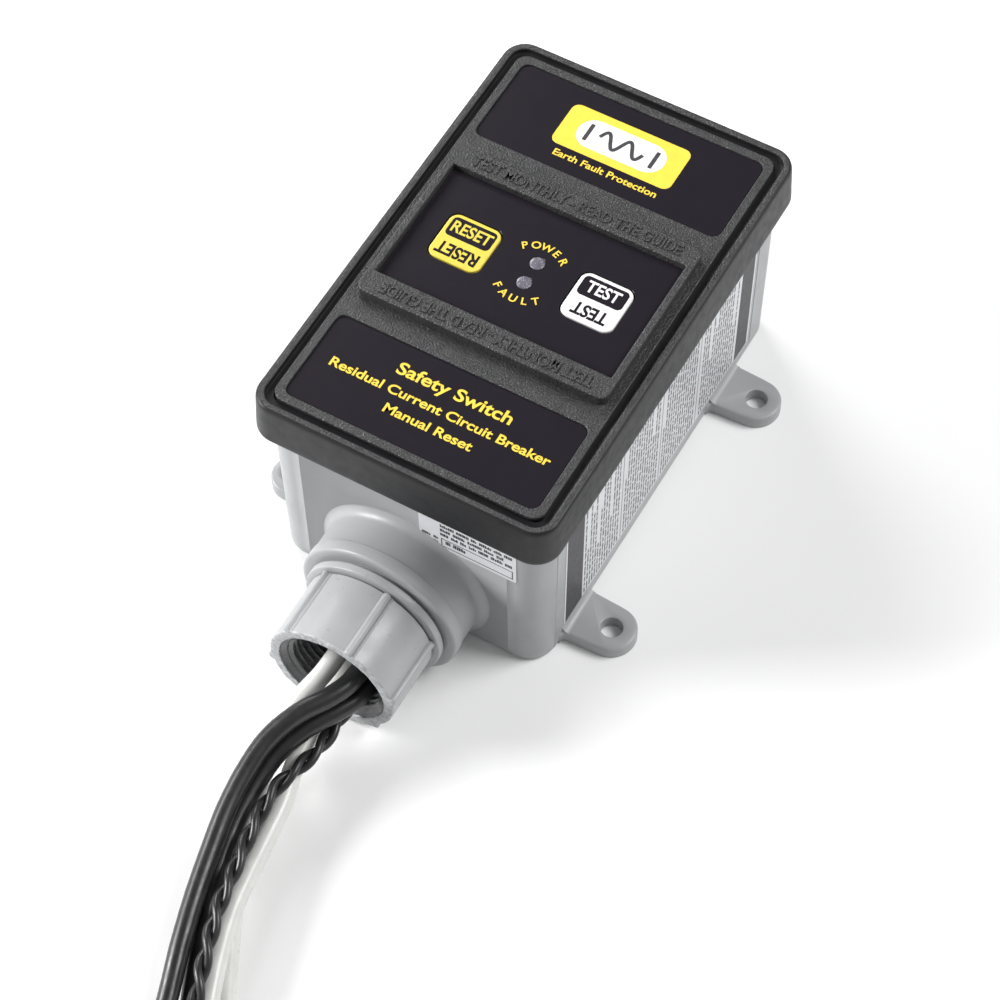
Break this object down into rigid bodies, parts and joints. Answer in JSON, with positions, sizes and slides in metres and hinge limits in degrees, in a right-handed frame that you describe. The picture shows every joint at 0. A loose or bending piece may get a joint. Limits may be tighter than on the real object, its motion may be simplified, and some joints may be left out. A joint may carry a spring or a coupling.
{
  "type": "residual current device",
  "caption": "Hard-wired residual current device in a surface box: black cover with reset and test keys and two indicators, grey rear box with four feet, conduit hub and free leads",
  "frame": {"origin": "on the back plane that lies against the mounting surface, on the long centre line of the box, level with the middle between the upper and lower foot holes", "axes": "+Z out of the front cover, +X to the right with the hub at the bottom of the cover, +Y away from the conduit hub"},
  "size_m": [0.1066, 0.3139, 0.0694],
  "materials": {
    "grey_pvc": "fine_grain",
    "hub_pvc": "smooth",
    "black_plastic": "fine_grain",
    "black_label": "smooth",
    "white_label": "smooth",
    "yellow_key": "smooth",
    "white_key": "smooth",
    "lens_plastic": "speckled",
    "green_led": "clear",
    "red_led": "clear",
    "black_rubber": "satin",
    "black_insulation": "satin",
    "white_insulation": "satin",
    "brass": "satin",
    "plated_steel": "satin",
    "magnet_iron": "satin",
    "ferrite": "matt",
    "enamelled_wire": "wound",
    "board_green": "satin",
    "moulded_black": "satin",
    "nylon_natural": "satin",
    "contact_copper": "satin",
    "blue_epoxy": "satin",
    "yellow_film": "satin",
    "blue_sleeve": "satin",
    "tan_body": "matt",
    "red_plastic": "satin"
  },
  "bodies": {
    "enclosure": {"rear_box": "grey_pvc", "conduit_hub": "hub_pvc", "lead_seal": "black_rubber", "lid_gasket": "black_rubber", "cover": "black_plastic", "upper_label": "black_label", "lower_label": "black_label", "control_overlay": "black_label", "side_label": "white_label", "front_label": "white_label", "cover_inserts": "brass", "cover_screws": "plated_steel", "circuit_board": "board_green", "board_screws": "plated_steel", "reset_spring": "plated_steel", "test_spring": "plated_steel", "reset_switch": "moulded_black", "test_switch": "moulded_black", "power_lens": "lens_plastic", "fault_lens": "lens_plastic", "power_led": "green_led", "fault_led": "red_led", "sense_core": "ferrite", "sense_winding": "enamelled_wire", "neutral_core": "ferrite", "neutral_winding": "enamelled_wire", "core_clamp": "nylon_natural", "relay_base": "moulded_black", "relay_bobbin": "nylon_natural", "relay_winding": "enamelled_wire", "relay_core": "magnet_iron", "relay_yoke": "magnet_iron", "fixed_contacts": "contact_copper", "armature_spring": "plated_steel", "varistor": "blue_epoxy", "film_capacitor": "yellow_film", "storage_capacitors": "blue_sleeve", "control_chip": "moulded_black", "dropper_resistors": "tan_body", "rectifier_diodes": "moulded_black", "terminal_blocks": "brass", "inner_black_wires": "black_insulation", "inner_white_wires": "white_insulation", "inner_pair": "black_insulation", "black_lead_a": "black_insulation", "black_lead_b": "black_insulation", "white_lead_a": "white_insulation", "white_lead_b": "white_insulation", "thin_pair": "black_insulation"},
    "reset_button": {"reset_key": "yellow_key", "reset_plunger": "red_plastic"},
    "test_button": {"test_key": "white_key", "test_plunger": "red_plastic"},
    "armature": {"relay_armature": "plated_steel", "contact_carrier": "nylon_natural", "moving_contacts": "contact_copper"}
  },
  "joints": [
    {"name": "reset_press", "type": "slide", "parent": "enclosure", "child": "reset_button", "axis": [0, 0, -1], "range_m": [0, 0.0008], "stiffness_N_per_m": 1500, "springref_m": -0.0006, "deforming": ["reset_spring"]},
    {"name": "test_press", "type": "slide", "parent": "enclosure", "child": "test_button", "axis": [0, 0, -1], "range_m": [0, 0.0008], "stiffness_N_per_m": 1500, "springref_m": -0.0006, "deforming": ["test_spring"]},
    {"name": "armature_tilt", "type": "hinge", "parent": "enclosure", "child": "armature", "pos_m": [0, 0.03875, 0.0272], "axis": [-1, 0, 0], "range_deg": [0, 6], "stiffness_Nm_per_rad": 0.02, "springref_deg": -20.05, "deforming": ["armature_spring"]}
  ]
}
